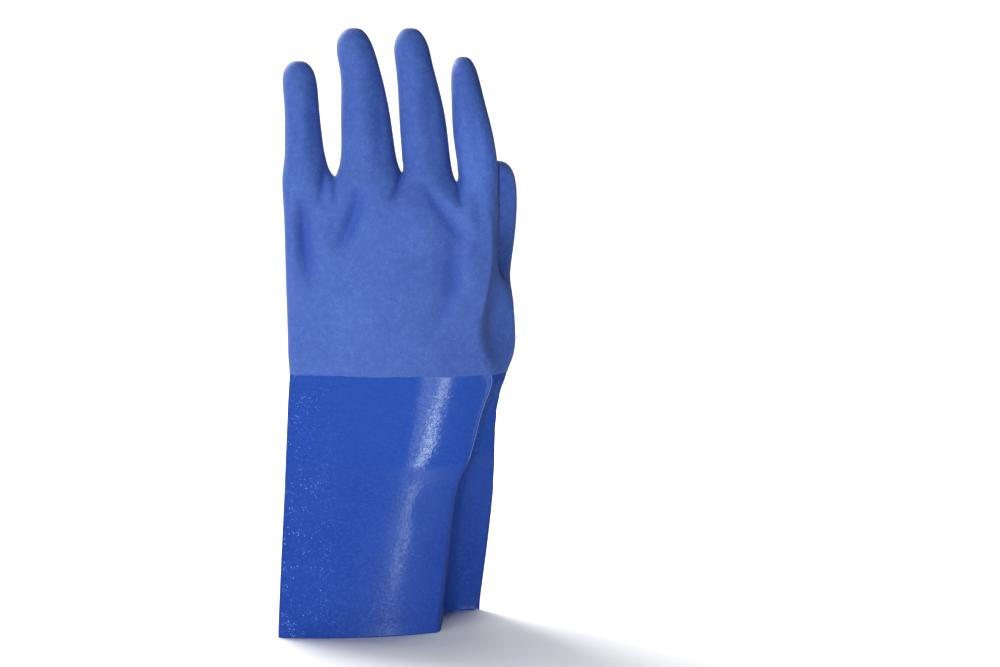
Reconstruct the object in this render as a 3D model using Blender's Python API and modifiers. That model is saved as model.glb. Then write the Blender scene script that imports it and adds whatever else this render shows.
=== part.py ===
"""A left-hand PVC work glove with a gauntlet cuff, standing on its hem.

The glove is made in two dips, and so is the model. glove_shell is the first dip: one hollow wall
from the hem to the fingertips. grip_coat is the second, rough dip: a skin over the hand that ends
at the dip line on the wrist. X runs across the hand to the thumb's side, Y from the back of the
hand to the palm, and Z up from the hem. Lengths are in metres.
"""

import math
from collections import namedtuple

import bmesh
import bpy
import numpy as np
from mathutils import Matrix, Vector

# Lengths, up from the hem
CUFF_LENGTH = 0.150
PALM_LENGTH = 0.114
FINGER_LENGTH = {"little": 0.0670, "ring": 0.0855, "middle": 0.0875, "index": 0.0710}
THUMB_LENGTH = 0.081

# Breadths and thicknesses of the shell's outside
HAND_WIDTH = 0.122
HAND_DEPTH = 0.050
CUFF_WIDTH = 0.1146
CUFF_DEPTH = 0.067
THUMB_WIDTH = 0.0245
THUMB_DEPTH = 0.0235

# Walls
SHELL_WALL = 0.0014
COAT_WALL = 0.0005
COAT_CLEARANCE = 0.0004
HEM_BAND = 0.006

# A section is a ring of columns: eight named along the back of the hand from the little finger's
# side to the lip, then the valley, then the flange and eight more along the palm. x is a share of
# the width, y a share of the depth, and a crease runs up from the section at the lip or the flange.
Section = namedtuple(
    "Section",
    "height left_x left_y lip_x lip_y valley_x valley_y flange_x flange_y crown belly edge"
    " lip_crease flange_crease",
)
CUFF_SECTIONS = (
    Section(0.000, -0.624, 0.02, 0.202, 0.16, 0.208, 0.92, 0.402, 0.98, 0.06, 0.32, 0.03, 0.45, 0.60),
    Section(0.300, -0.615, 0.12, 0.242, 0.16, 0.270, 0.74, 0.450, 0.87, 0.14, 0.34, 0.04, 0.40, 0.55),
    Section(0.585, -0.603, 0.25, 0.276, 0.14, 0.312, 0.64, 0.486, 0.77, 0.20, 0.34, 0.06, 0.40, 0.50),
    Section(0.650, -0.603, 0.27, 0.340, 0.17, 0.352, 0.56, 0.484, 0.76, 0.21, 0.33, 0.07, 0.45, 0.50),
    Section(0.750, -0.599, 0.31, 0.368, 0.17, 0.386, 0.52, 0.486, 0.72, 0.24, 0.33, 0.08, 0.55, 0.45),
    Section(0.850, -0.596, 0.35, 0.396, 0.18, 0.432, 0.47, 0.499, 0.66, 0.27, 0.33, 0.10, 0.60, 0.35),
    Section(0.925, -0.594, 0.38, 0.436, 0.21, 0.466, 0.43, 0.526, 0.61, 0.30, 0.34, 0.12, 0.40, 0.20),
)
HAND_SECTIONS = (
    Section(0.000, -0.551, 0.54, 0.447, 0.32, 0.476, 0.54, 0.533, 0.84, 0.42, 0.48, 0.18, 0.20, 0.00),
    Section(0.120, -0.549, 0.50, 0.402, 0.14, 0.428, 0.45, 0.592, 0.96, 0.32, 0.34, 0.18, 0.20, 0.00),
    Section(0.300, -0.549, 0.46, 0.402, 0.08, 0.425, 0.45, 0.586, 1.06, 0.28, 0.32, 0.18, 0.10, 0.00),
    Section(0.485, -0.552, 0.42, 0.435, 0.08, 0.462, 0.36, 0.505, 0.88, 0.25, 0.28, 0.18, 0.00, 0.00),
    Section(0.665, -0.552, 0.40, 0.440, 0.09, 0.470, 0.28, 0.456, 0.68, 0.22, 0.24, 0.18, 0.00, 0.00),
    Section(0.845, -0.555, 0.38, 0.430, 0.10, 0.470, 0.26, 0.455, 0.60, 0.21, 0.23, 0.18, 0.00, 0.00),
)
# How the eight columns spread from the left edge to the lip, and back from the flange
ACROSS_BACK = (0.012, 0.12, 0.265, 0.435, 0.61, 0.75, 0.90, 1.0)
ACROSS_PALM = (0.012, 0.12, 0.26, 0.40, 0.54, 0.66, 0.775, 0.885, 1.0)
LIP = 7
FLANGE = 9
CROWN_POWER = 2.4
THUMB_ROWS = (2, 3)
THUMB_COLUMNS = (6, 7, 8)

# Where the fingers part: a row for each column of the top section. A web is pinched in front to back.
Knuckle = namedtuple("Knuckle", "across lift front back")
KNUCKLES = (
    Knuckle(-0.556, 0.00, 0.26, 0.52),
    Knuckle(-0.450, -0.02, 0.08, 0.68),
    Knuckle(-0.305, -0.03, 0.20, 0.56),
    Knuckle(-0.140, -0.01, 0.04, 0.72),
    Knuckle(0.012, 0.01, 0.19, 0.57),
    Knuckle(0.135, -0.01, 0.04, 0.72),
    Knuckle(0.267, -0.07, 0.20, 0.56),
    Knuckle(0.370, -0.02, 0.08, 0.68),
    Knuckle(0.462, 0.00, 0.26, 0.52),
)

# Root and tip are widths; lean and curl are how far the tip moves sideways and towards the palm.
Finger = namedtuple("Finger", "name column root tip root_depth tip_depth lean curl")
FINGERS = (
    Finger("little", 0, 0.0205, 0.0187, 0.0215, 0.0175, -0.0050, 0.009),
    Finger("ring", 2, 0.0300, 0.0205, 0.0235, 0.0185, -0.0082, 0.010),
    Finger("middle", 4, 0.0254, 0.0200, 0.0240, 0.0185, -0.0105, 0.010),
    Finger("index", 6, 0.0225, 0.0155, 0.0230, 0.0185, -0.0080, 0.009),
)
LEAN_POWER = 1.3
CURL_POWER = 2.0
# A ring up a finger: its place along it, how far its size has gone from root to tip, and its scale
FingerRing = namedtuple("FingerRing", "along taper scale")
FINGER_RINGS = (
    FingerRing(0.15, 0.00, 1.00),
    FingerRing(0.38, 0.20, 1.00),
    FingerRing(0.62, 0.72, 1.00),
    FingerRing(0.83, 1.00, 1.02),
    FingerRing(0.96, 1.00, 0.88),
    FingerRing(1.02, 1.00, 0.45),
)
# The thumb's rings: place along it, then sideways and palm-ward shares of its width and depth,
# the lean of the ring out of level in degrees, and scale
ThumbRing = namedtuple("ThumbRing", "along side forward lean scale")
THUMB_RINGS = (
    ThumbRing(0.13, -0.04, 0.36, 50.0, 1.00),
    ThumbRing(0.34, 0.10, 0.58, 18.0, 0.96),
    ThumbRing(0.58, 0.17, 0.62, 4.0, 1.00),
    ThumbRing(0.80, 0.17, 0.60, 0.0, 1.02),
    ThumbRing(0.94, 0.15, 0.58, 0.0, 0.88),
    ThumbRing(1.00, 0.14, 0.58, 0.0, 0.45),
)
# Folds pressed into the back of the glove, each along a bowed line. Across (x, bow, spread) they are
# shares of the hand's or the cuff's width, upwards shares of its length and into the surface shares
# of its depth; a ridge has a negative depth.
Fold = namedtuple("Fold", "name x z to_x to_z bow spread depth")
HAND_FOLDS = (
    Fold("beside the edge", -0.440, 0.84, -0.411, 0.50, -0.020, 0.034, 0.065),
    Fold("little knuckle", -0.336, 0.76, -0.336, 0.68, 0.000, 0.050, -0.040),
    Fold("under the little finger", -0.364, 1.02, -0.364, 0.88, 0.000, 0.030, 0.040),
    Fold("ring knuckle valley", -0.165, 0.95, -0.285, 0.66, 0.015, 0.038, 0.090),
    Fold("first web", -0.290, 0.96, -0.313, 0.88, 0.000, 0.030, 0.045),
    Fold("second web", 0.005, 0.96, -0.010, 0.86, 0.000, 0.032, 0.045),
    Fold("middle knuckle valley", 0.130, 0.93, 0.224, 0.42, 0.045, 0.038, 0.080),
    Fold("third web", 0.288, 0.93, 0.308, 0.84, 0.000, 0.030, 0.040),
    Fold("index knuckle ridge", 0.215, 0.88, 0.374, 0.74, 0.000, 0.034, -0.050),
    Fold("index lobe", 0.330, 0.57, 0.340, 0.42, 0.000, 0.045, -0.050),
)
CUFF_FOLDS = (
    Fold("buckle", 0.100, 0.62, 0.300, 0.635, 0.000, 0.030, 0.030),
)
FOLD_STEPS = 8

# A hexagon's subdivided limit lies inside it by this factor, so rings are drawn larger by it
HEXAGON_SHRINK = (2 + math.cos(math.radians(60))) / 3
RING_ANGLES = (150, 90, 30, -30, -90, -150)


def mix(a, b, share):
    return a + (b - a) * share


def crown_at(share):
    """How much of the crown shows at a share of the way across: none at the edges, all in the middle."""
    return 1 - abs(2 * share - 1) ** CROWN_POWER


def section_ring(section, width, depth, z):
    """The eighteen points of a section: nine along the back of the hand, then nine back along the palm."""
    back = []
    for share in ACROSS_BACK:
        y = mix(section.left_y, section.lip_y, share) - section.crown * crown_at(share)
        back.append((mix(section.left_x, section.lip_x, share), y))
    back[0] = (back[0][0], section.left_y - section.edge)
    back.append((section.valley_x, section.valley_y))
    palm = []
    for share in ACROSS_PALM:
        y = mix(section.left_y, section.flange_y, share) + section.belly * crown_at(share)
        palm.append((mix(section.left_x, section.flange_x, share), y))
    palm[0] = (palm[0][0], section.left_y + section.edge)
    return [Vector((x * width, y * depth, z)) for x, y in back + palm[::-1]]


def knuckle_ring():
    """The top section of the hand, whose points are the fingers' roots and webs."""
    z = CUFF_LENGTH + PALM_LENGTH
    front = [
        Vector((k.across * HAND_WIDTH, k.front * HAND_DEPTH, z + k.lift * HAND_WIDTH)) for k in KNUCKLES
    ]
    back = [Vector((k.across * HAND_WIDTH, k.back * HAND_DEPTH, z + k.lift * HAND_WIDTH)) for k in KNUCKLES]
    return front + back[::-1]


def hexagon(centre, width, depth, lean=0.0):
    """A six-point ring round a finger, from its left edge along the back of the hand to the palm."""
    tip = Matrix.Rotation(math.radians(-lean), 3, "X")
    points = []
    for angle in RING_ANGLES:
        across = math.cos(math.radians(angle)) * width / 2 / HEXAGON_SHRINK
        through = -math.sin(math.radians(angle)) * depth / 2 / HEXAGON_SHRINK
        points.append(centre + tip @ Vector((across, through, 0)))
    return points


def bridge(mesh, lower, upper, closed=True):
    """Quads between two rings of the same number of corners."""
    count = len(lower)
    for i in range(count if closed else count - 1):
        j = (i + 1) % count
        mesh.faces.new((lower[i], lower[j], upper[j], upper[i]))


def raise_tube(mesh, root, rings):
    """A finger's tube on the six corners of its root, closed by two quads at the tip."""
    lower = root
    for points in rings:
        upper = [mesh.verts.new(p) for p in points]
        bridge(mesh, lower, upper)
        lower = upper
    mesh.faces.new((lower[0], lower[1], lower[4], lower[5]))
    mesh.faces.new((lower[1], lower[2], lower[3], lower[4]))


def finger_rings(finger, root):
    """The rings of a finger that stands on the six corners of its root."""
    base = sum((v.co for v in root), Vector()) / len(root)
    length = FINGER_LENGTH[finger.name]
    rings = []
    for ring in FINGER_RINGS:
        sideways = finger.lean * ring.along**LEAN_POWER
        forward = finger.curl * ring.along**CURL_POWER
        centre = base + Vector((sideways, forward, length * ring.along))
        width = mix(finger.root, finger.tip, ring.taper) * ring.scale
        depth = mix(finger.root_depth, finger.tip_depth, ring.taper) * ring.scale
        rings.append(hexagon(centre, width, depth))
    return rings


def thumb_rings(root):
    """The thumb's rings: it leaves the palm outwards and turns up beside the fingers."""
    base = sum((v.co for v in root), Vector()) / len(root)
    return [
        hexagon(
            base + Vector((ring.side * THUMB_WIDTH, ring.forward * THUMB_DEPTH, ring.along * THUMB_LENGTH)),
            THUMB_WIDTH * ring.scale,
            THUMB_DEPTH * ring.scale,
            ring.lean,
        )
        for ring in THUMB_RINGS
    ]


def glove_cage():
    """The glove's coarse cage, open at the hem."""
    mesh = bmesh.new()
    hem = CUFF_SECTIONS[0]
    points = [section_ring(hem, CUFF_WIDTH, CUFF_DEPTH, 0), section_ring(hem, CUFF_WIDTH, CUFF_DEPTH, HEM_BAND)]
    for section in CUFF_SECTIONS[1:]:
        points.append(section_ring(section, CUFF_WIDTH, CUFF_DEPTH, section.height * CUFF_LENGTH))
    first_hand_row = len(points)
    for section in HAND_SECTIONS:
        z = CUFF_LENGTH + section.height * PALM_LENGTH
        points.append(section_ring(section, HAND_WIDTH, HAND_DEPTH, z))
    points.append(knuckle_ring())
    rows = [[mesh.verts.new(p) for p in row] for row in points]
    for lower, upper in zip(rows, rows[1:]):
        bridge(mesh, lower, upper)
    crease = mesh.edges.layers.float.new("crease_edge")
    for lower, upper, section in zip(rows, rows[1:], (hem, *CUFF_SECTIONS, *HAND_SECTIONS)):
        for column, weight in ((LIP, section.lip_crease), (FLANGE, section.flange_crease)):
            mesh.edges.get((lower[column], upper[column]))[crease] = weight

    # The palm's columns come after the back's, in reverse order
    last = len(rows[0]) - 1
    low, high = (rows[first_hand_row + row] for row in THUMB_ROWS)
    thumb_root = [high[last - c] for c in THUMB_COLUMNS] + [low[last - c] for c in THUMB_COLUMNS[::-1]]
    patch = [f for f in mesh.faces if all(v in thumb_root for v in f.verts)]
    bmesh.ops.delete(mesh, geom=patch, context="FACES")
    raise_tube(mesh, thumb_root, thumb_rings(thumb_root))

    top = rows[-1]
    for finger in FINGERS:
        c = finger.column
        root = [top[c], top[c + 1], top[c + 2], top[last - c - 2], top[last - c - 1], top[last - c]]
        raise_tube(mesh, root, finger_rings(finger, root))

    bmesh.ops.recalc_face_normals(mesh, faces=mesh.faces)
    return mesh


def fold_depth(fold, places):
    """How deep a fold is at each place across and up the glove."""
    start = np.array((fold.x, fold.z))
    end = np.array((fold.to_x, fold.to_z))
    sideways = np.array((fold.bow, 0))
    shares = np.linspace(0, 1, FOLD_STEPS + 1)
    line = [start + (end - start) * t + sideways * 4 * t * (1 - t) for t in shares]
    nearest = np.full(len(places), np.inf)
    for a, b in zip(line, line[1:]):
        along = np.clip((places - a) @ (b - a) / ((b - a) @ (b - a)), 0, 1)
        nearest = np.minimum(nearest, np.linalg.norm(places - a - np.outer(along, b - a), axis=1))
    return fold.depth * np.exp(-((nearest / fold.spread) ** 2))


def press_folds(mesh):
    """Move the back of the glove's vertices in along their normals by the folds' depths."""
    points = np.array([v.co for v in mesh.vertices])
    normals = np.array([v.normal for v in mesh.vertices])
    depth = np.zeros(len(points))
    for folds, bottom, length, width, thick in (
        (HAND_FOLDS, CUFF_LENGTH, PALM_LENGTH, HAND_WIDTH, HAND_DEPTH),
        (CUFF_FOLDS, 0, CUFF_LENGTH, CUFF_WIDTH, CUFF_DEPTH),
    ):
        places = np.column_stack((points[:, 0] / width, (points[:, 2] - bottom) / length))
        for fold in folds:
            depth += fold_depth(fold, places) * thick
    facing = np.clip(-normals[:, 1], 0, 1)
    points -= normals * (depth * facing)[:, None]
    for vertex, point in zip(mesh.vertices, points):
        vertex.co = point


def worked_out(obj):
    """A mesh of the object with its modifiers applied."""
    graph = bpy.context.evaluated_depsgraph_get()
    return bpy.data.meshes.new_from_object(obj.evaluated_get(graph))


def glove_form():
    """The smooth open surface that both dips follow."""
    cage = glove_cage()
    data = bpy.data.meshes.new("glove_form")
    cage.to_mesh(data)
    cage.free()
    form = bpy.data.objects.new("glove_form", data)
    bpy.context.scene.collection.objects.link(form)
    smooth = form.modifiers.new("Smooth", "SUBSURF")
    smooth.levels = smooth.render_levels = 1
    surface = worked_out(form)
    bpy.data.objects.remove(form)
    press_folds(surface)
    return surface


def material(name, colour, roughness):
    made = bpy.data.materials.new(name)
    made.use_nodes = True
    shader = made.node_tree.nodes["Principled BSDF"]
    shader.inputs["Base Color"].default_value = (*colour, 1)
    shader.inputs["Roughness"].default_value = roughness
    return made


def place(name, mesh, collection, look):
    obj = bpy.data.objects.new(name, mesh)
    mesh.materials.clear()
    mesh.materials.append(look)
    mesh.shade_smooth()
    collection.objects.link(obj)
    return obj


def solidify(obj, thickness, offset, even):
    wall = obj.modifiers.new("Wall", "SOLIDIFY")
    wall.thickness = thickness
    wall.offset = offset
    wall.use_even_offset = even


def make_shell(surface, collection):
    """The first dip: the whole glove, with its wall inside the surface and a flat hem."""
    look = material("gloss_blue_pvc", (0.02, 0.07, 0.42), 0.25)
    shell = place("glove_shell", surface.copy(), collection, look)
    solidify(shell, SHELL_WALL, -1, even=False)
    mesh = worked_out(shell)
    for vertex in mesh.vertices:
        if vertex.co.z < SHELL_WALL / 2:
            vertex.co.z = 0
    shell.modifiers.clear()
    shell.data = mesh
    return shell


def make_coat(surface, collection):
    """The second dip: the hand's part of the surface, set off it by the clearance."""
    mesh = bmesh.new()
    mesh.from_mesh(surface)
    below = [f for f in mesh.faces if f.calc_center_median().z < CUFF_LENGTH]
    bmesh.ops.delete(mesh, geom=below, context="FACES")
    data = bpy.data.meshes.new("grip_coat")
    mesh.to_mesh(data)
    mesh.free()
    coat = place("grip_coat", data, collection, material("rough_blue_pvc", (0.06, 0.13, 0.50), 0.75))
    solidify(coat, COAT_WALL, 1 + 2 * COAT_CLEARANCE / COAT_WALL, even=True)
    return coat


def stand_on_origin(objects):
    """Centre the glove across the origin; its hem is already at the height of zero."""
    graph = bpy.context.evaluated_depsgraph_get()
    corners = np.array([c for obj in objects for c in obj.evaluated_get(graph).bound_box])
    middle = (corners.min(axis=0) + corners.max(axis=0)) / 2
    for obj in objects:
        obj.location = (-middle[0], -middle[1], 0)


def main():
    for obj in list(bpy.data.objects):
        bpy.data.objects.remove(obj)
    glove = bpy.data.collections.new("work_glove")
    bpy.context.scene.collection.children.link(glove)
    surface = glove_form()
    stand_on_origin([make_shell(surface, glove), make_coat(surface, glove)])


main()
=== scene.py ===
# %% [markdown]
# # Dressing a PVC work glove
# A dipped work glove starts as a knitted cotton hand on a metal form. It is lowered into liquid PVC for a
# smooth, glossy first coat, and then the hand alone goes into a second bath that dries fine and sandy.
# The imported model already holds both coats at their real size, so it is loaded first, and every size below
# is set against it. Lengths are in metres.

# %% Load the frame
import math
from collections import namedtuple

import bmesh
import bpy
import numpy as np
from mathutils import Matrix, Vector
from mathutils.bvhtree import BVHTree


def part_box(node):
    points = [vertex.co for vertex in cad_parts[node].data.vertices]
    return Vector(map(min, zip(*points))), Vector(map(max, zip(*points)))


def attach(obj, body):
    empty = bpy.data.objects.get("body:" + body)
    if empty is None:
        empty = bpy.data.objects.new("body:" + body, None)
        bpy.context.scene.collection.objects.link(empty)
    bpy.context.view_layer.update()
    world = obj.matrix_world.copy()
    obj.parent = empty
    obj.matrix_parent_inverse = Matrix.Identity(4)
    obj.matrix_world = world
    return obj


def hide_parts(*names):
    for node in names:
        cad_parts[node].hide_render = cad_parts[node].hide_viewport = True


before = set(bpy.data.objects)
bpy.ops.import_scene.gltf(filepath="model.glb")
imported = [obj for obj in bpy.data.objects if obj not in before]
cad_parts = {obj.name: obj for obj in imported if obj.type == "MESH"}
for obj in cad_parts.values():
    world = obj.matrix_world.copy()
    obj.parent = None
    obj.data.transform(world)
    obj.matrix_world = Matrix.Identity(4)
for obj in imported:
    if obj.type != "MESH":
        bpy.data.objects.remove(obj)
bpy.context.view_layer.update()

MM = 0.001
shell_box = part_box("glove_shell")
coat_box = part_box("grip_coat")

# %% [markdown]
# ## The sizes that drive the glove
# A glove could be sculpted, but a maker thinks of it as a few lengths and widths: how long the cuff is, how
# wide the palm, how long each finger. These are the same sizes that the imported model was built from, so the
# fine surface lands on it.

# %% Driving sizes
CUFF_LENGTH = 0.150
PALM_LENGTH = 0.114
FINGER_LENGTH = {"little": 0.0670, "ring": 0.0855, "middle": 0.0875, "index": 0.0710}
THUMB_LENGTH = 0.081
HAND_WIDTH = 0.122
HAND_DEPTH = 0.050
CUFF_WIDTH = 0.1146
CUFF_DEPTH = 0.067
THUMB_WIDTH = 0.0245
THUMB_DEPTH = 0.0235
SHELL_WALL = 0.0014
HEM_BAND = 0.006
print("dip line in the packed model at", round(coat_box[0].z / MM, 1), "mm, here at", CUFF_LENGTH / MM)

# %% [markdown]
# ## Cross-sections from hem to knuckles
# The cuff isn't a plain tube. Its thumb side was folded flat when it was packed, and it has sprung half
# open again: the back panel ends in a lip, behind the lip the wall dives into a valley, and then it comes
# out again as a flange. One row of the table is one cross-section. x is a share of the width, y a share of
# the depth, and the two creases say how sharply the lip and the flange are folded there.

# %% Section tables
Section = namedtuple(
    "Section",
    "height left_x left_y lip_x lip_y valley_x valley_y flange_x flange_y crown belly edge"
    " lip_crease flange_crease",
)
CUFF_SECTIONS = (
    Section(0.000, -0.624, 0.02, 0.202, 0.18, 0.208, 0.92, 0.402, 0.98, 0.11, 0.32, 0.03, 0.45, 0.60),
    Section(0.300, -0.615, 0.12, 0.242, 0.17, 0.266, 0.78, 0.450, 0.87, 0.18, 0.34, 0.04, 0.45, 0.55),
    Section(0.585, -0.603, 0.25, 0.280, 0.15, 0.308, 0.68, 0.486, 0.77, 0.21, 0.34, 0.06, 0.50, 0.50),
    Section(0.650, -0.603, 0.27, 0.344, 0.17, 0.358, 0.60, 0.484, 0.76, 0.21, 0.33, 0.07, 0.70, 0.50),
    Section(0.750, -0.599, 0.31, 0.380, 0.17, 0.394, 0.56, 0.486, 0.72, 0.24, 0.33, 0.08, 0.80, 0.45),
    Section(0.850, -0.596, 0.35, 0.409, 0.18, 0.437, 0.51, 0.499, 0.66, 0.27, 0.33, 0.10, 0.80, 0.35),
    Section(0.925, -0.594, 0.38, 0.446, 0.21, 0.472, 0.46, 0.526, 0.61, 0.30, 0.34, 0.12, 0.60, 0.20),
)
HAND_SECTIONS = (
    Section(0.000, -0.551, 0.54, 0.460, 0.33, 0.496, 0.46, 0.533, 0.84, 0.42, 0.48, 0.18, 0.10, 0.00),
    Section(0.120, -0.549, 0.50, 0.392, 0.20, 0.420, 0.48, 0.604, 0.96, 0.32, 0.34, 0.18, 0.30, 0.00),
    Section(0.300, -0.549, 0.46, 0.385, 0.12, 0.385, 0.66, 0.592, 1.06, 0.28, 0.32, 0.18, 0.60, 0.00),
    Section(0.485, -0.552, 0.42, 0.428, 0.12, 0.427, 0.60, 0.492, 0.88, 0.25, 0.28, 0.18, 0.60, 0.00),
    Section(0.665, -0.552, 0.40, 0.448, 0.11, 0.457, 0.42, 0.452, 0.68, 0.22, 0.24, 0.18, 0.40, 0.00),
    Section(0.845, -0.555, 0.38, 0.432, 0.10, 0.470, 0.26, 0.455, 0.60, 0.21, 0.23, 0.18, 0.00, 0.00),
)
ACROSS_BACK = (0.012, 0.12, 0.265, 0.435, 0.61, 0.75, 0.90, 1.0)
ACROSS_PALM = (0.012, 0.12, 0.26, 0.40, 0.54, 0.66, 0.775, 0.885, 1.0)
LIP, VALLEY, FLANGE = 7, 8, 9
VALLEY_SHARE = 0.7
CROWN_POWER = 2.4


def mix(a, b, share):
    return a + (b - a) * share


def crown_at(share):
    """How much of a panel's bulge shows at a share of the way across it."""
    return 1 - abs(2 * share - 1) ** CROWN_POWER


def section_ring(section, width, depth, z):
    """Eighteen points: nine along the back of the hand, then nine back along the palm."""
    back = []
    for share in ACROSS_BACK:
        y = mix(section.left_y, section.lip_y, share) - section.crown * crown_at(share)
        back.append((mix(section.left_x, section.lip_x, share), y))
    back[0] = (back[0][0], section.left_y - section.edge)
    back.append((section.valley_x, section.valley_y))
    palm = []
    for share in ACROSS_PALM:
        y = mix(section.left_y, section.flange_y, share) + section.belly * crown_at(share)
        palm.append((mix(section.left_x, section.flange_x, share), y))
    palm[0] = (palm[0][0], section.left_y + section.edge)
    return [Vector((x * width, y * depth, z)) for x, y in back + palm[::-1]]


ring_points = len(section_ring(CUFF_SECTIONS[0], CUFF_WIDTH, CUFF_DEPTH, 0))
print(len(CUFF_SECTIONS), "cuff and", len(HAND_SECTIONS), "hand sections of", ring_points, "points")

# %% [markdown]
# ## Knuckles, fingers and thumb
# The hand's top ring carries the four fingers. Each finger stands on six of its points, and the points
# between two fingers are the webs, which the former pinches in from front and back. A finger is a stack of
# six-sided rings: subdivision rounds a hexagon well, and six points are few enough to steer one by one.
# A hexagon's smooth limit lies inside it, so rings are drawn larger by that share. Along is a share of the
# finger's length; how far a ring lies sideways of the root, its width and its depth are in millimetres. The
# thumb's rings are shares of its own sizes, and they lean over where it leaves the palm.

# %% Finger tables
Knuckle = namedtuple("Knuckle", "across lift front back")
KNUCKLES = (
    Knuckle(-0.556, 0.00, 0.26, 0.52),
    Knuckle(-0.450, -0.02, 0.08, 0.68),
    Knuckle(-0.305, -0.03, 0.20, 0.56),
    Knuckle(-0.140, -0.01, 0.04, 0.72),
    Knuckle(0.012, 0.01, 0.19, 0.57),
    Knuckle(0.135, -0.035, 0.04, 0.72),
    Knuckle(0.270, -0.045, 0.20, 0.56),
    Knuckle(0.370, -0.045, 0.08, 0.68),
    Knuckle(0.462, 0.00, 0.26, 0.52),
)
Finger = namedtuple("Finger", "name column curl")
FINGERS = (
    Finger("little", 0, 0.009),
    Finger("ring", 2, 0.010),
    Finger("middle", 4, 0.010),
    Finger("index", 6, 0.009),
)
CURL_POWER = 2.0
FingerRing = namedtuple("FingerRing", "finger along sideways width depth")
FINGER_RINGS = (
    FingerRing("little", 0.200, -1.1, 21.0, 21.5),
    FingerRing("little", 0.380, -2.0, 19.9, 20.7),
    FingerRing("little", 0.620, -2.9, 17.8, 18.6),
    FingerRing("little", 0.830, -4.4, 18.6, 17.9),
    FingerRing("little", 0.960, -5.4, 16.6, 15.4),
    FingerRing("little", 1.035, -5.7, 8.0, 7.9),
    FingerRing("ring", 0.150, 0.0, 28.8, 23.5),
    FingerRing("ring", 0.420, -1.7, 27.6, 22.5),
    FingerRing("ring", 0.700, -3.9, 21.6, 19.4),
    FingerRing("ring", 0.840, -7.4, 21.1, 18.9),
    FingerRing("ring", 0.950, -9.3, 18.5, 16.7),
    FingerRing("ring", 1.025, -9.2, 8.4, 8.3),
    FingerRing("middle", 0.120, -1.3, 25.4, 24.0),
    FingerRing("middle", 0.380, -3.1, 26.0, 22.9),
    FingerRing("middle", 0.620, -5.8, 22.1, 20.0),
    FingerRing("middle", 0.790, -8.8, 19.4, 18.7),
    FingerRing("middle", 0.925, -10.7, 19.2, 17.2),
    FingerRing("middle", 1.020, -11.1, 8.8, 8.6),
    FingerRing("index", 0.120, 0.9, 21.0, 23.0),
    FingerRing("index", 0.380, -2.0, 22.4, 22.1),
    FingerRing("index", 0.620, -4.7, 18.3, 19.8),
    FingerRing("index", 0.830, -6.7, 15.2, 18.5),
    FingerRing("index", 0.950, -7.8, 12.8, 16.0),
    FingerRing("index", 1.035, -8.4, 6.6, 8.3),
)
ThumbRing = namedtuple("ThumbRing", "along side forward lean scale")
THUMB_RINGS = (
    ThumbRing(0.13, -0.04, 0.36, 50.0, 1.00),
    ThumbRing(0.34, 0.10, 0.58, 18.0, 0.96),
    ThumbRing(0.58, 0.17, 0.62, 4.0, 1.00),
    ThumbRing(0.80, 0.17, 0.60, 0.0, 1.02),
    ThumbRing(0.94, 0.15, 0.58, 0.0, 0.88),
    ThumbRing(1.00, 0.14, 0.58, 0.0, 0.45),
)
THUMB_ROWS = (2, 3)
THUMB_COLUMNS = (6, 7, 8)
HEXAGON_SHRINK = (2 + math.cos(math.radians(60))) / 3
RING_ANGLES = (150, 90, 30, -30, -90, -150)


def knuckle_point(knuckle, depth):
    z = CUFF_LENGTH + PALM_LENGTH + knuckle.lift * HAND_WIDTH
    return Vector((knuckle.across * HAND_WIDTH, depth * HAND_DEPTH, z))


def knuckle_ring():
    """The hand's top section, whose points are the fingers' roots and webs."""
    front = [knuckle_point(knuckle, knuckle.front) for knuckle in KNUCKLES]
    back = [knuckle_point(knuckle, knuckle.back) for knuckle in KNUCKLES]
    return front + back[::-1]


def hexagon(centre, width, depth, lean=0.0):
    """A six-point ring round a finger, from its left edge along the back of the hand to the palm."""
    tip = Matrix.Rotation(math.radians(-lean), 3, "X")
    points = []
    for angle in RING_ANGLES:
        across = math.cos(math.radians(angle)) * width / 2 / HEXAGON_SHRINK
        through = -math.sin(math.radians(angle)) * depth / 2 / HEXAGON_SHRINK
        points.append(centre + tip @ Vector((across, through, 0)))
    return points


def middle_of(root):
    return sum((v.co for v in root), Vector()) / len(root)


def finger_rings(finger, root):
    """The rings of a finger that stands on the six corners of its root."""
    base = middle_of(root)
    rings = []
    for ring in FINGER_RINGS:
        if ring.finger == finger.name:
            forward = finger.curl * ring.along**CURL_POWER
            upward = FINGER_LENGTH[finger.name] * ring.along
            centre = base + Vector((ring.sideways * MM, forward, upward))
            rings.append(hexagon(centre, ring.width * MM, ring.depth * MM))
    return rings


def thumb_rings(root):
    """The thumb's rings: it leaves the palm outwards and turns up beside the fingers."""
    base = middle_of(root)
    rings = []
    for ring in THUMB_RINGS:
        way = Vector((ring.side * THUMB_WIDTH, ring.forward * THUMB_DEPTH, ring.along * THUMB_LENGTH))
        rings.append(hexagon(base + way, THUMB_WIDTH * ring.scale, THUMB_DEPTH * ring.scale, ring.lean))
    return rings


print("fingers:", ", ".join(f"{name} {length / MM:.0f} mm" for name, length in FINGER_LENGTH.items()))

# %% [markdown]
# ## Lofting the cage
# The rings are joined by quads into one coarse cage, open at the hem. Two openings are left where the
# thumb and the fingers grow out, so that the smooth surface runs into them without a seam, as one dip of
# PVC does. A doubled ring near the hem keeps its cut edge flat, and the points along the folded lip carry a
# value of 1, which the finish reads to paint a highlight along the lip.

# %% Cage
FIRST_HAND_ROW = len(CUFF_SECTIONS) + 1
LIP_HIGHLIGHT_HAND_ROWS = 2


def bridge(mesh, lower, upper):
    """Quads between two closed rings of the same number of corners."""
    for i in range(len(lower)):
        j = (i + 1) % len(lower)
        mesh.faces.new((lower[i], lower[j], upper[j], upper[i]))


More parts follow.
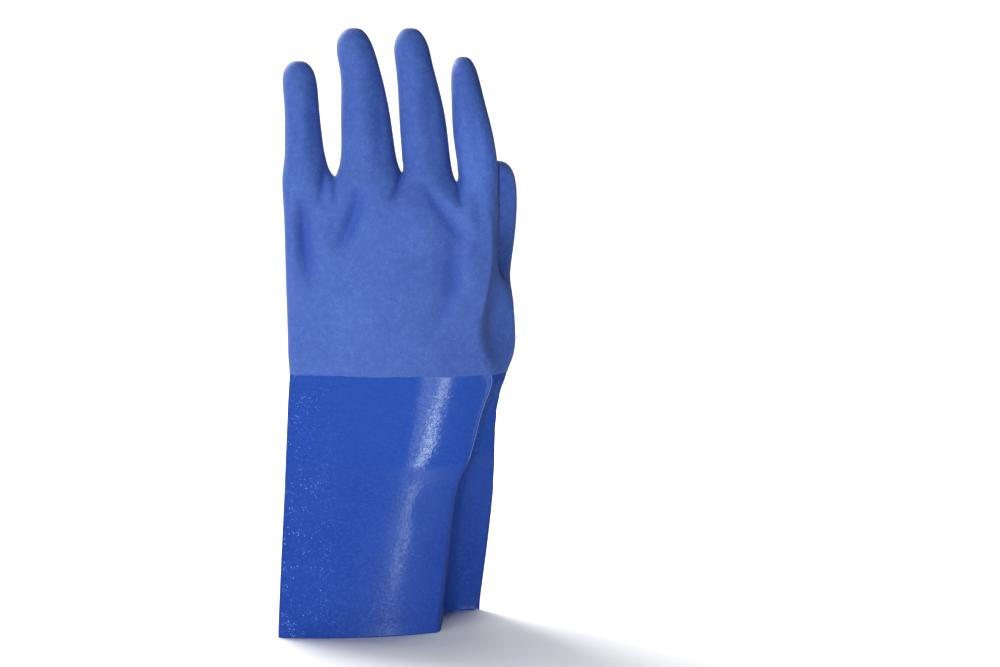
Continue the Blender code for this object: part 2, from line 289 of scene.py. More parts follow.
def raise_tube(mesh, root, rings):
    """A finger's tube on the six corners of its root, closed by two quads at the tip."""
    lower = root
    for points in rings:
        upper = [mesh.verts.new(p) for p in points]
        bridge(mesh, lower, upper)
        lower = upper
    mesh.faces.new((lower[0], lower[1], lower[4], lower[5]))
    mesh.faces.new((lower[1], lower[2], lower[3], lower[4]))


def cage_rings():
    """Every ring from the hem to the knuckles."""
    hem = CUFF_SECTIONS[0]
    rings = [section_ring(hem, CUFF_WIDTH, CUFF_DEPTH, z) for z in (0, HEM_BAND)]
    for section in CUFF_SECTIONS[1:]:
        rings.append(section_ring(section, CUFF_WIDTH, CUFF_DEPTH, section.height * CUFF_LENGTH))
    for section in HAND_SECTIONS:
        z = CUFF_LENGTH + section.height * PALM_LENGTH
        rings.append(section_ring(section, HAND_WIDTH, HAND_DEPTH, z))
    return rings + [knuckle_ring()]


def crease_the_folds(mesh, rows):
    """Crease weights that keep the lip, the valley and the flange tight when the cage is smoothed."""
    crease = mesh.edges.layers.float.new("crease_edge")
    sections = (CUFF_SECTIONS[0], *CUFF_SECTIONS, *HAND_SECTIONS)
    for lower, upper, section in zip(rows, rows[1:], sections):
        for column, weight in (
            (LIP, section.lip_crease),
            (VALLEY, section.lip_crease * VALLEY_SHARE),
            (FLANGE, section.flange_crease),
        ):
            mesh.edges.get((lower[column], upper[column]))[crease] = weight


def raise_thumb(mesh, rows):
    """The thumb grows out of an opening that is cut into the palm's side."""
    low, high = (rows[FIRST_HAND_ROW + row] for row in THUMB_ROWS)
    root = [high[-1 - c] for c in THUMB_COLUMNS] + [low[-1 - c] for c in THUMB_COLUMNS[::-1]]
    patch = [f for f in mesh.faces if all(v in root for v in f.verts)]
    bmesh.ops.delete(mesh, geom=patch, context="FACES")
    raise_tube(mesh, root, thumb_rings(root))


def glove_cage():
    mesh = bmesh.new()
    lip_highlight = mesh.verts.layers.float.new("lip_highlight")
    rows = [[mesh.verts.new(p) for p in ring] for ring in cage_rings()]
    for lower, upper in zip(rows, rows[1:]):
        bridge(mesh, lower, upper)
    # the lip points carry the value that the glossy finish reads to paint a highlight along the lip
    for row in rows[: FIRST_HAND_ROW + LIP_HIGHLIGHT_HAND_ROWS]:
        row[LIP][lip_highlight] = 1
    crease_the_folds(mesh, rows)
    raise_thumb(mesh, rows)
    top = rows[-1]
    for finger in FINGERS:
        c = finger.column
        root = [top[c], top[c + 1], top[c + 2], top[-3 - c], top[-2 - c], top[-1 - c]]
        raise_tube(mesh, root, finger_rings(finger, root))
    bmesh.ops.recalc_face_normals(mesh, faces=mesh.faces)
    return mesh


cage = bpy.data.meshes.new("cage")
drawn = glove_cage()
drawn.to_mesh(cage)
drawn.free()
print("cage:", len(cage.polygons), "quads")

# %% [markdown]
# ## Folds
# When a flat glove is stood up, its back creases between the knuckles and crumples at the wrist. Each fold
# is one row: a line with a bow, in shares of the width and the length, then how many millimetres it spreads
# to its left and to its right and how many it presses in, with a minus for a ridge. A crease in thick PVC is
# steep on one side and soft on the other, which is why there are two spreads, and it fades out at both ends.
# A sculptor would brush these in, but a table can be read, tuned and run again. How deep each point went
# stays on the mesh as an attribute, so that the finish can paint shade into the folds.

# %% Folds
Fold = namedtuple("Fold", "name x z to_x to_z bow left right depth")
HAND_FOLDS = (
    Fold("beside the edge", -0.447, 0.93, -0.413, 0.44, -0.014, 4.0, 6.0, 3.6),
    Fold("edge ridge", -0.508, 0.91, -0.503, 0.39, 0.000, 3.0, 3.0, -0.8),
    Fold("little knuckle", -0.348, 0.88, -0.353, 0.61, 0.000, 6.0, 5.0, -1.6),
    Fold("under the little finger", -0.335, 1.10, -0.367, 0.84, 0.000, 3.0, 3.5, 2.4),
    Fold("first web", -0.301, 1.03, -0.292, 0.87, 0.000, 2.0, 2.0, 1.8),
    Fold("between little and ring", -0.175, 0.97, -0.295, 0.62, 0.016, 4.0, 6.5, 4.2),
    Fold("second web", 0.017, 1.09, -0.030, 0.87, 0.012, 2.5, 3.0, 2.8),
    Fold("ring knuckle", -0.080, 0.98, -0.100, 0.70, 0.000, 5.0, 6.0, -0.9),
    Fold("middle knuckle", 0.007, 0.92, 0.167, 0.66, 0.000, 7.0, 6.0, -1.3),
    Fold("arc, upper part", 0.105, 1.00, 0.320, 0.68, -0.012, 4.5, 4.0, 2.5),
    Fold("arc, lower part", 0.245, 0.78, 0.240, 0.40, 0.020, 6.5, 6.0, 1.7),
    Fold("third web", 0.274, 1.04, 0.298, 0.86, 0.000, 2.5, 2.5, 2.8),
    Fold("index knuckle", 0.293, 0.97, 0.373, 0.69, 0.000, 3.5, 4.0, -1.5),
    Fold("between the knuckles", 0.185, 0.95, 0.363, 0.73, 0.000, 3.0, 3.0, -1.1),
    Fold("index lobe", 0.330, 0.69, 0.345, 0.43, 0.000, 6.0, 6.0, -1.6),
    Fold("back of the hand", -0.030, 0.81, -0.049, 0.14, 0.000, 26.0, 26.0, -1.6),
    Fold("toward the wrist", 0.382, 0.69, 0.120, 0.14, 0.000, 10.0, 4.5, 2.0),
    Fold("ring finger, left", -0.225, 1.55, -0.215, 1.05, 0.000, 2.5, 3.5, 0.8),
    Fold("ring finger, right", -0.105, 1.60, -0.075, 1.00, 0.000, 5.0, 3.0, 1.0),
    Fold("middle finger, left", 0.045, 1.60, 0.055, 1.05, 0.000, 2.5, 3.0, 0.8),
    Fold("middle finger, right", 0.125, 1.55, 0.175, 1.02, 0.000, 4.5, 3.0, 1.0),
    Fold("little finger, left", -0.480, 1.45, -0.470, 1.00, 0.000, 2.5, 3.0, 0.6),
    Fold("little finger, right", -0.410, 1.45, -0.390, 1.05, 0.000, 3.5, 2.5, 0.8),
    Fold("index finger, right", 0.330, 1.45, 0.385, 1.00, 0.000, 3.5, 3.0, 0.8),
)
CUFF_FOLDS = (
    Fold("buckle", 0.343, 0.68, 0.018, 0.61, 0.000, 5.0, 8.0, 0.5),
    Fold("dent under the buckle", 0.190, 0.60, 0.100, 0.40, 0.000, 9.0, 12.0, 0.5),
)
FOLD_STEPS = 8
FOLD_FADE = 0.8
SIDE_PRESS = 0.3


def fold_depth(fold, places, size):
    """How deep a fold presses at each place: it fades to both ends of its line and to its two sides."""
    start = np.array((fold.x, fold.z)) * size
    end = np.array((fold.to_x, fold.to_z)) * size
    sideways = np.array((fold.bow, 0)) * size
    shares = np.linspace(0, 1, FOLD_STEPS + 1)
    line = [start + (end - start) * t + sideways * 4 * t * (1 - t) for t in shares]
    nearest = np.full(len(places), np.inf)
    spread = np.ones(len(places))
    share = np.zeros(len(places))
    for step, (a, b) in enumerate(zip(line, line[1:])):
        run, away = b - a, places - a
        along = np.clip(away @ run / (run @ run), 0, 1)
        distance = np.linalg.norm(away - np.outer(along, run), axis=1)
        on_left = run[0] * away[:, 1] - run[1] * away[:, 0] < 0
        closer = distance < nearest
        nearest = np.where(closer, distance, nearest)
        spread = np.where(closer, np.where(on_left, fold.left, fold.right) * MM, spread)
        share = np.where(closer, (step + along) / FOLD_STEPS, share)
    fade = (4 * share * (1 - share)) ** FOLD_FADE
    return fold.depth * MM * fade * np.exp(-((nearest / spread) ** 2))


def press_folds(points, normals):
    """The points moved in along their normals by the folds, and how far each one went."""
    depth = np.zeros(len(points))
    for folds, bottom, length, width in (
        (HAND_FOLDS, CUFF_LENGTH, PALM_LENGTH, HAND_WIDTH),
        (CUFF_FOLDS, 0, CUFF_LENGTH, CUFF_WIDTH),
    ):
        places = np.column_stack((points[:, 0], points[:, 2] - bottom))
        for fold in folds:
            depth += fold_depth(fold, places, np.array((width, length)))
    depth *= np.clip(SIDE_PRESS - normals[:, 1], 0, 1)
    return points - normals * depth[:, None], depth


deepest = max(HAND_FOLDS, key=lambda fold: fold.depth)
print(len(HAND_FOLDS), "folds on the hand and", len(CUFF_FOLDS), "on the cuff; the deepest is", deepest.name)

# %% [markdown]
# ## The smooth surface
# A Subdivision Surface modifier rounds the cage, keeps the lip and the flange tight by their crease weights
# and puts every point on the limit surface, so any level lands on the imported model. The shell needs three
# rounds. The grip coat faces the viewer and gets four, which makes quads of about a millimetre.

# %% Smooth surface
def linked(name, mesh):
    obj = bpy.data.objects.new(name, mesh)
    bpy.context.scene.collection.objects.link(obj)
    return obj


def worked_out(obj):
    """A mesh of the object with its modifiers applied; the object itself goes."""
    graph = bpy.context.evaluated_depsgraph_get()
    mesh = bpy.data.meshes.new_from_object(obj.evaluated_get(graph))
    bpy.data.objects.remove(obj)
    return mesh


def read(mesh):
    """A mesh's points and normals as arrays."""
    points = np.array([v.co for v in mesh.vertices])
    normals = np.array([v.normal for v in mesh.vertices])
    return points, normals


def write(mesh, points):
    mesh.vertices.foreach_set("co", points.astype(np.float32).ravel())
    mesh.update()


def glove_surface(rounds):
    """The cage subdivided, with its folds pressed in."""
    form = linked("form", cage.copy())
    smooth = form.modifiers.new("Smooth", "SUBSURF")
    smooth.levels = smooth.render_levels = rounds
    surface = worked_out(form)
    points, normals = read(surface)
    points, depth = press_folds(points, normals)
    write(surface, points)
    surface.attributes.new("pressed", "FLOAT", "POINT").data.foreach_set("value", depth.astype(np.float32))
    return surface


SHELL_ROUNDS = 3
COAT_ROUNDS = 4
shell_surface = glove_surface(SHELL_ROUNDS)
coat_surface = glove_surface(COAT_ROUNDS)
points, _ = read(shell_surface)
packed_middle = (shell_box[0] + shell_box[1]) / 2
own_middle = (points.min(axis=0) + points.max(axis=0)) / 2
SHIFT = Vector((packed_middle.x - own_middle[0], packed_middle.y - own_middle[1], 0))
print("the glove stands", [round(d / MM, 2) for d in SHIFT], "mm from its own origin")

# %% [markdown]
# ## A notebook for shader maths
# Materials are built from nodes, and a long chain of Math nodes is hard to read when each is wired by hand.
# This small class wraps one socket and gives it the usual operators, so a mask can be written as an
# expression. Colours take another path, because a Math node would turn them grey. A finish holds the node
# tree; one method adds any node, and the others name the few patterns that these finishes need.

# %% Shader maths
class Value:
    """A number socket that can be added, multiplied and compared like a number."""

    def __init__(self, finish, socket):
        self.finish = finish
        self.socket = socket

    def math(self, operation, *values):
        return self.finish.node("ShaderNodeMath", {"operation": operation}, dict(enumerate(values)))

    def __add__(self, other):
        return self.math("ADD", self, other)

    __radd__ = __add__

    def __mul__(self, other):
        return self.math("MULTIPLY", self, other)

    __rmul__ = __mul__

    def __sub__(self, other):
        return self.math("SUBTRACT", self, other)

    def __rsub__(self, other):
        return self.math("SUBTRACT", other, self)

    def above(self, edge, soft):
        """0 below the edge, 1 above it, with a soft step between."""
        return self.finish.node(
            "ShaderNodeMapRange",
            {"interpolation_type": "SMOOTHSTEP"},
            {"Value": self, "From Min": edge - soft, "From Max": edge + soft},
        )


class Finish:
    """A material under construction."""

    def __init__(self, name):
        self.material = bpy.data.materials.new(name)
        self.material.use_nodes = True
        self.tree = self.material.node_tree
        self.shader = self.tree.nodes["Principled BSDF"]
        self.place = self.node("ShaderNodeTexCoord", out="Object")

    def node(self, kind, settings=None, inputs=None, out=0):
        """Adds a node: its settings first, then its sockets' values or links. Gives back one output."""
        made = self.tree.nodes.new(kind)
        for name, setting in (settings or {}).items():
            setattr(made, name, setting)
        for name, given in (inputs or {}).items():
            self.give(made.inputs[name], given)
        return Value(self, made.outputs[out])

    def give(self, socket, given):
        if isinstance(given, Value):
            self.tree.links.new(given.socket, socket)
        elif socket.type == "RGBA":
            socket.default_value = (*given, 1)
        else:
            socket.default_value = given

    def set(self, **sockets):
        """Sets or links the shader's own sockets, named with _ for a space."""
        for name, given in sockets.items():
            self.give(self.shader.inputs[name.replace("_", " ")], given)

    def cover(self, share, **sockets):
        """Covers the shader, as far as the share says, with a second one."""
        first = Value(self, self.shader.outputs[0])
        self.shader = self.tree.nodes.new("ShaderNodeBsdfPrincipled")
        self.set(**sockets)
        second = Value(self, self.shader.outputs[0])
        covered = self.node("ShaderNodeMixShader", {}, {0: share, 1: first, 2: second})
        self.tree.links.new(covered.socket, self.tree.nodes["Material Output"].inputs["Surface"])

    def flattened(self, times):
        """Places for a pattern in rows: it comes out so many times lower than it is wide."""
        return self.node("ShaderNodeMapping", {}, {"Vector": self.place, "Scale": (1, 1, times)})

    def noise(self, size, detail=2.0, rough=0.5, at=None):
        """Soft noise, 0 to 1, whose blotches are about a size across."""
        inputs = {"Vector": at or self.place, "Scale": 1 / size, "Detail": detail, "Roughness": rough}
        return self.node("ShaderNodeTexNoise", {}, inputs)

    def dots(self, size, edge, soft):
        """Round dots, one to a cell of a size: 1 inside the edge, a share of that cell, and 0 outside."""
        inputs = {"Vector": self.place, "Scale": 1 / size}
        distance = self.node("ShaderNodeTexVoronoi", {"feature": "F1"}, inputs, out="Distance")
        return 1 - distance.above(edge, soft)

    def attribute(self, name):
        """A value that the mesh carries at its points."""
        return self.node("ShaderNodeAttribute", {"attribute_name": name}, out="Fac")

    def mixed(self, share, a, b):
        """Colour a where the share is 0 and b where it is 1."""
        return self.node("ShaderNodeMix", {"data_type": "RGBA"}, {0: share, 6: a, 7: b}, out=2)

    def along(self, axis):
        """The place along one axis, in metres: Z is the height above the floor, X runs across the glove."""
        return self.node("ShaderNodeSeparateXYZ", {}, {"Vector": self.place}, out=axis)

    def bump(self, height, distance, strength):
        """Relief: a height of 1 stands a distance proud, and the strength softens it."""
        return self.node("ShaderNodeBump", {}, {"Height": height, "Distance": distance, "Strength": strength})


def srgb(red, green, blue):
    """A colour as a screen shows it, 0 to 255, turned into the shader's linear light."""
    parts = (red / 255, green / 255, blue / 255)
    return tuple(p / 12.92 if p <= 0.04045 else ((p + 0.055) / 1.055) ** 2.4 for p in parts)


print("a mid blue of 60, 95, 180 is", [round(p, 3) for p in srgb(60, 95, 180)], "in linear light")

# %% [markdown]
# ## The sandy grip coat's finish
# The second dip is foamed and dusted while wet, so it dries matte, with grains well under a millimetre
# across. Three sizes of noise make it: wide clouds in the colour, small mottling, and the grain itself,
# which is mostly relief. In patches single grains shine a little: they are smoother there, and they are
# also painted paler as a painted highlight. The colour is darkened in the folds as painted shade, read from
# how deep the mesh says each point was pressed. A trace of sheen gives the foam its soft edge.

# %% Sandy blue PVC
VALLEY_DEPTH, VALLEY_SOFT = 0.0017, 0.0019
GRAIN_RELIEF = 0.00018
FOAM_BLUE, FOAM_PALE = srgb(59, 90, 168), srgb(67, 98, 175)
MOTTLE_BLUE, FOLD_SHADE_BLUE = srgb(88, 120, 202), srgb(42, 76, 168)
DUST_BLUE, PAINTED_GLINT_BLUE = srgb(118, 146, 214), srgb(118, 148, 218)


def sandy_blue():
    made = Finish("sandy_blue_pvc")
    clouds = made.noise(size=0.035, detail=3)
    mottle = made.noise(size=0.0035, detail=3, rough=0.6)
    grain = made.noise(size=0.0007, detail=2, rough=0.6)
    fold_shade = made.attribute("pressed").above(VALLEY_DEPTH, VALLEY_SOFT)
    glint_patches = made.noise(size=0.020, detail=2).above(0.52, soft=0.09)
    body = made.mixed(clouds.above(0.5, soft=0.25), FOAM_BLUE, FOAM_PALE)
    body = made.mixed(mottle.above(0.55, soft=0.2) * 0.35, body, MOTTLE_BLUE)
    # painted shade: the colour is darkened where the folds press in, most at their bottoms
    body = made.mixed(fold_shade * 0.65, body, FOLD_SHADE_BLUE)
    dusted = made.mixed(grain.above(0.62, soft=0.08) * 0.25, body, DUST_BLUE)
    # glints: in patches single grains are painted paler as a painted highlight, and their lower roughness makes
    # them shine as well
    glints = made.dots(size=0.0010, edge=0.26, soft=0.08) * glint_patches * (1 - fold_shade)
    made.set(
        Base_Color=made.mixed(glints * 0.40, dusted, PAINTED_GLINT_BLUE),
        Roughness=0.66 - 0.2 * glints,
        IOR=1.45,
        Sheen_Weight=0.07,
        Sheen_Roughness=0.4,
        Normal=made.bump(grain + mottle * 0.5, GRAIN_RELIEF, strength=0.8),
    )
    return made.material


# %% [markdown]
# ## The glossy cuff's finish
# The first dip is smooth but not perfect. Air trapped in the knit leaves tiny bubbles and pits along the
# cuff's outer edge, which glint through their relief and are also painted paler as a painted highlight.
# The knit below shows through as a fine waviness that breaks up every reflection.
# Two shaders share the colour: a dull one, and over it a glossy one that is broken up by grain and by rows of
# knit. The gloss is whole above the buckle, worn down to a share of it below, where the cuff is handled
# most, and nearly gone in the buckle itself. A thin painted highlight follows the lip, pale above the buckle
# and a greyer painted reflection below it; the mesh carries a value that is 1 on the lip, and the finish reads
# it.

# %% Glossy blue PVC
BUCKLE_TOP, BUCKLE_FOOT, BUCKLE_SOFT = 0.0985, 0.0900, 0.003
BUCKLE_GLOSS, UPPER_GLOSS, LOWER_GLOSS, MIDDLE_GLOSS = 0.09, 0.87, 0.07, 0.15
PITTED_EDGE, PITTED_SOFT = -0.046, 0.022
WAVE_RELIEF = 0.00025
LIP_LINE, LIP_SOFT = 0.972, 0.02
HEM_BLUE, WRIST_SHEEN_BLUE = srgb(21, 54, 136), srgb(35, 68, 151)
CLOUD_BLUE, GRAIN_BLUE = srgb(33, 71, 158), srgb(54, 92, 184)
PIT_GLINT_BLUE, SPECK_GLINT_BLUE = srgb(80, 122, 208), srgb(140, 175, 236)
LOWER_LIP_REFLECTION_GREY, UPPER_LIP_HIGHLIGHT_PALE = srgb(84, 88, 126), srgb(150, 172, 222)


def gloss_left(made, height, upper, grain):
    """How much of the gloss shows at a place, broken up by the grain and by rows of knit."""
    lower = 1 - height.above(BUCKLE_FOOT, BUCKLE_SOFT)
    rows = made.noise(size=0.0042, detail=3, rough=0.6, at=made.flattened(3.0))
    skin = 0.34 + 0.46 * grain.above(0.50, soft=0.10) + 0.48 * rows.above(0.48, soft=0.09)
    below = (LOWER_GLOSS + MIDDLE_GLOSS * height.above(0.05, soft=0.05)) * lower
    return (BUCKLE_GLOSS + UPPER_GLOSS * upper + below) * skin


def glossy_blue():
    made = Finish("glossy_blue_pvc")
    height = made.along("Z")
    upper = height.above(BUCKLE_TOP, BUCKLE_SOFT)
    clouds = made.noise(size=0.03, detail=3)
    waves = made.noise(size=0.006, detail=2)
    grain = made.noise(size=0.0015, detail=2, rough=0.6)

    # painted sheen: the colour is lighter toward the wrist and darker toward the hem
    body = made.mixed(height.above(0.09, soft=0.08), HEM_BLUE, WRIST_SHEEN_BLUE)
    body = made.mixed(clouds.above(0.5, soft=0.3) * 0.4, body, CLOUD_BLUE)
    body = made.mixed(grain.above(0.56, soft=0.10) * 0.25, body, GRAIN_BLUE)
    # painted highlight along the lip: pale above the buckle, and a greyer painted reflection below it
    lip_highlight_colour = made.mixed(upper, LOWER_LIP_REFLECTION_GREY, UPPER_LIP_HIGHLIGHT_PALE)
    body = made.mixed(made.attribute("lip_highlight").above(LIP_LINE, LIP_SOFT) * 0.6, body, lip_highlight_colour)

    edge = 1 - made.along("X").above(PITTED_EDGE, PITTED_SOFT)
    pitted = made.noise(size=0.010).above(0.49, soft=0.07)
    specked = made.noise(size=0.007).above(0.55, soft=0.05)
    pits = made.dots(size=0.0022, edge=0.24, soft=0.06) * edge * pitted
    specks = made.dots(size=0.0016, edge=0.20, soft=0.05) * edge * specked
    # painted highlight: the pits and specks are painted paler, as glints, on top of their relief
    body = made.mixed(pits * 0.4, body, PIT_GLINT_BLUE)
    body = made.mixed(specks * 0.8, body, SPECK_GLINT_BLUE)

    relief = waves * 0.4 + grain * 0.35 + pits * 0.8 + specks * 0.9
    wavy = made.bump(relief, WAVE_RELIEF, strength=0.6)
    broken = made.bump(relief + grain * 0.1, WAVE_RELIEF, strength=0.7)
    made.set(Base_Color=body, Roughness=0.36 + 0.1 * clouds, IOR=1.33, Normal=wavy)
    gloss = gloss_left(made, height, upper, grain)
    made.cover(gloss, Base_Color=body, Roughness=0.10, IOR=1.5, Normal=broken)
    return made.material


# %% [markdown]
# ## The cotton lining
# Inside, the glove is the knitted cotton that it was dipped on. Only its face shows, so it is a finish on
# the shell's inner wall and not another layer: pale, soft, with columns of stitches as relief.

# %% Cotton lining
STITCH_RELIEF = 0.0004
COLUMNS, ROWS = 180, 240
COTTON_SHADE, COTTON_PALE = srgb(196, 200, 206), srgb(232, 232, 228)


def cotton_lining():
    made = Finish("cotton_lining")
    across, up = (
        made.node(
            "ShaderNodeTexWave",
            {"bands_direction": axis},
            {"Vector": made.place, "Scale": bands, "Distortion": wobble},
        )
        for axis, bands, wobble in (("X", COLUMNS, 1.0), ("Z", ROWS, 1.5))
    )
    stitches = across * up
    made.set(
        Base_Color=made.mixed(stitches, COTTON_SHADE, COTTON_PALE),
        Roughness=0.95,
        Normal=made.bump(stitches, STITCH_RELIEF, strength=0.7),
    )
    return made.material


SANDY, GLOSSY, LINING = sandy_blue(), glossy_blue(), cotton_lining()
print("finishes:", ", ".join(m.name for m in (SANDY, GLOSSY, LINING)))

# %% [markdown]
# ## The gauntlet shell
# The first dip is one wall from hem to fingertips, so one surface with a Solidify modifier makes it. The
# wall grows inwards, and the modifier can give its inner faces the second material, which is the lining.
# Where the flange is folded nearly flat, a full wall would push out through the other side, so the space
# inside is measured with rays and the wall takes no more than a share of it.

# %% Gauntlet shell
RAY_START = 0.00001
ROOM_SHARE = 0.4


def finished(obj, slot, *nodes):
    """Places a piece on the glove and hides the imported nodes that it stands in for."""
    obj.data.transform(Matrix.Translation(SHIFT))
    obj.data.shade_smooth()
    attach(obj, "root")
    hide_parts(*nodes)
    print(obj.name, "has", sum(len(p.vertices) - 2 for p in obj.data.polygons), "triangles")
    return obj


def room_inside(mesh):
    """How far each point of a closed form is from the wall opposite, straight in along its normal."""
    tree = BVHTree.FromPolygons([v.co for v in mesh.vertices], [p.vertices for p in mesh.polygons])
    rooms = []
    for v in mesh.vertices:
        hit = tree.ray_cast(v.co - v.normal * RAY_START, -v.normal)
        rooms.append(math.inf if hit[3] is None else hit[3])
    return rooms


def gauntlet_shell():
    shell = linked("gauntlet_shell", shell_surface.copy())
    for look in (GLOSSY, LINING):
        shell.data.materials.append(look)
    thickness = shell.vertex_groups.new(name="thickness")
    rooms = room_inside(shell.data)
    for index, room in enumerate(rooms):
        thickness.add((index,), min(1, room * ROOM_SHARE / SHELL_WALL), "REPLACE")
    print("the wall is thinned at", sum(room * ROOM_SHARE < SHELL_WALL for room in rooms), "points")
    wall = shell.modifiers.new("Wall", "SOLIDIFY")
    wall.thickness = SHELL_WALL
    wall.vertex_group = "thickness"
    wall.offset = -1
    wall.material_offset = 1
    mesh = worked_out(shell)
    mesh.name = "gauntlet_shell"
    points, _ = read(mesh)
    points[points[:, 2] < SHELL_WALL / 2, 2] = 0
    write(mesh, points)
    return finished(linked("gauntlet_shell", mesh), "gloss_blue_pvc", "glove_shell")


shell = gauntlet_shell()

# %% [markdown]
# ## The grip coat
# The second dip hugs the first. It is thickest over the hand and thins out to a soft, slightly uneven line
# at the wrist, where the hand stopped going down into the bath. Its outer face is the fine surface, its
# inner face the shell's coarser one, and a strip of small triangles joins the two at the dip line.

# %% Grip coat
COAT_STAND = 0.0009
COAT_EDGE = 0.0002
COAT_TAPER = 0.012
COAT_UNDER = 0.00005
DIP_LINE = 0.1502
DIP_WAVES = ((0.0450, 0.00022, 0.4), (0.0170, 0.00010, 2.0), (0.0061, 0.00006, 4.0))


def uneven_dip(points):
    """How far the dip line wanders up and down, as a sum of a few waves, fading out above it."""
    wander = sum(size * np.sin(points[:, 0] * math.tau / length + start) for length, size, start in DIP_WAVES)
    return wander * np.clip(1 - (points[:, 2] - DIP_LINE) / COAT_TAPER, 0, 1)


def hand_part(surface, stand):
    """The part of a surface above the dip line, set off by a stand that may vary with height."""
    points, normals = read(surface)
    moved = points + normals * stand(points)[:, None]
    moved[:, 2] += uneven_dip(points)
    mesh = bmesh.new()
    mesh.from_mesh(surface)
    below = [f for f in mesh.faces if f.calc_center_median().z < DIP_LINE]
    for vertex, place in zip(mesh.verts, moved):
        vertex.co = place
    bmesh.ops.delete(mesh, geom=below, context="FACES")
    return mesh


def outer_stand(points):
    """The coat's outer face: thin at the dip line, full a little above it."""
    rise = np.clip((points[:, 2] - CUFF_LENGTH) / COAT_TAPER, 0, 1)
    return mix(COAT_EDGE, COAT_STAND, rise * rise * (3 - 2 * rise))


def under_stand(points):
    """The coat's inner face, a hair off the shell."""
    return np.full(len(points), COAT_UNDER)


def grip_coat():
    outer = hand_part(coat_surface, outer_stand)
    inner = hand_part(shell_surface, under_stand)
    bmesh.ops.reverse_faces(inner, faces=inner.faces)
    under = bpy.data.meshes.new("under")
    inner.to_mesh(under)
    outer.from_mesh(under)
    rims = [e for e in outer.edges if e.is_boundary]
    bmesh.ops.bridge_loops(outer, edges=rims)
    mesh = bpy.data.meshes.new("sandy_grip_coat")
    outer.to_mesh(mesh)
    outer.free()
    inner.free()
    mesh.materials.append(SANDY)
    return finished(linked("sandy_grip_coat", mesh), "rough_blue_pvc", "grip_coat")


coat = grip_coat()

# %% [markdown]
# ## The paper sweep
# A glove is photographed on a roll of pale paper that curves up behind it, so that no horizon shows. One
# profile, drawn out sideways, makes it. A glossy cuff would mirror so much white as a wide haze; the paper is
# left out of reflections, which a photographer does by flagging it off with dark cards.

# %% Paper sweep
SWEEP_WIDTH = 6.0
SWEEP_FRONT = -3.0
SWEEP_BACK = 2.0
SWEEP_BEND = 1.2
SWEEP_TOP = 4.0
BEND_STEPS = 16
PAPER_GREY, PAPER_PALE = (0.84, 0.84, 0.84), (0.87, 0.87, 0.87)


def sweep():
    """A floor that curves up into a backdrop behind the glove."""
    profile = [(SWEEP_FRONT, 0)]
    for step in range(BEND_STEPS + 1):
        turn = math.radians(90) * step / BEND_STEPS
        profile.append((SWEEP_BACK + SWEEP_BEND * math.sin(turn), SWEEP_BEND * (1 - math.cos(turn))))
    profile.append((SWEEP_BACK + SWEEP_BEND, SWEEP_TOP))
    mesh = bmesh.new()
    sides = [[mesh.verts.new((x, y, z)) for y, z in profile] for x in (-SWEEP_WIDTH / 2, SWEEP_WIDTH / 2)]
    for i in range(len(profile) - 1):
        mesh.faces.new((sides[0][i], sides[1][i], sides[1][i + 1], sides[0][i + 1]))
    data = bpy.data.meshes.new("studio_sweep")
    mesh.to_mesh(data)
    mesh.free()
    data.shade_smooth()
    look = Finish("pale_paper")
    fibres = look.noise(size=0.02, detail=4)
    look.set(Base_Color=look.mixed(fibres, PAPER_GREY, PAPER_PALE), Roughness=0.9)
    data.materials.append(look.material)
    made = linked("studio_sweep", data)
    made.visible_glossy = False
    return made


paper = sweep()

# %% [markdown]
# ## The softboxes
# An area light is a softbox: the wider it is, the softer the shade in the folds. The key light, upper left
# and in front, models the back of the hand. The rim light comes from behind and draws the pale edge along
# the fingers, and the narrow fill opens the shade under the knuckles. The glossy cuff would show the two in
# front as grey smears, so it is lit by them but doesn't mirror them.

# %% Softboxes
AIM = Vector((0, 0, 0.18))


def hung(name, light, place, aim, roll=0.0):
    """Hangs a light at its place, facing its aim, turned about that line by a roll in degrees."""
    lamp = bpy.data.objects.new(name, light)
    lamp.location = place
    facing = (aim - place).to_track_quat("-Z", "Y").to_matrix()
    lamp.rotation_euler = (facing @ Matrix.Rotation(math.radians(roll), 3, "Z")).to_euler()
    lamp.visible_camera = False
    bpy.context.scene.collection.objects.link(lamp)
    print(name, "stands", round((place - aim).length, 2), "m away")
    return lamp


def softbox(name, place, width, height, watts, aim=AIM, roll=0.0):
    light = bpy.data.lights.new(name, "AREA")
    light.shape = "RECTANGLE"
    light.size, light.size_y = width, height
    light.energy = watts
    return hung(name, light, place, aim, roll)


key = softbox("key_light", Vector((-0.95, -1.3, 0.95)), width=0.9, height=0.9, watts=8.8)
softbox("rim_light", Vector((-0.9, 1.0, 1.2)), width=0.8, height=0.8, watts=34)
fill = softbox("fill_light", Vector((-0.22, -1.55, 0.15)), width=0.10, height=0.5, watts=8.8)
key.visible_glossy = fill.visible_glossy = False

# %% [markdown]
# ## A window for the cuff to mirror
# A glossy surface shows the shape of its light, so the streak down the cuff is drawn by lights that are
# placed like a tall window with the sun in one part of it. The camera's line of sight, mirrored on the
# cuff, says where they have to hang. Light linking keeps them to the shell, with both coats as the only
# things that can block them, because the lower cuff leans back and mirrors what is below the paper.

# %% Windows
WINDOW_COLOUR = (0.84, 1.0, 0.98)
WINDOW_AIM_X, WINDOW_AIM_Y = 0.02, -0.035
Window = namedtuple("Window", "name place width length roll watts")
WINDOWS = (
    Window("window", Vector((0.26, -0.88, -0.07)), 0.28, 0.60, 0, 1.15),
    Window("sun_in_window", Vector((0.40, -0.88, -0.07)), 0.15, 0.62, -22, 1.95),
    Window("side_window", Vector((0.85, -0.25, 0.05)), 0.30, 0.50, 0, 0.6),
)


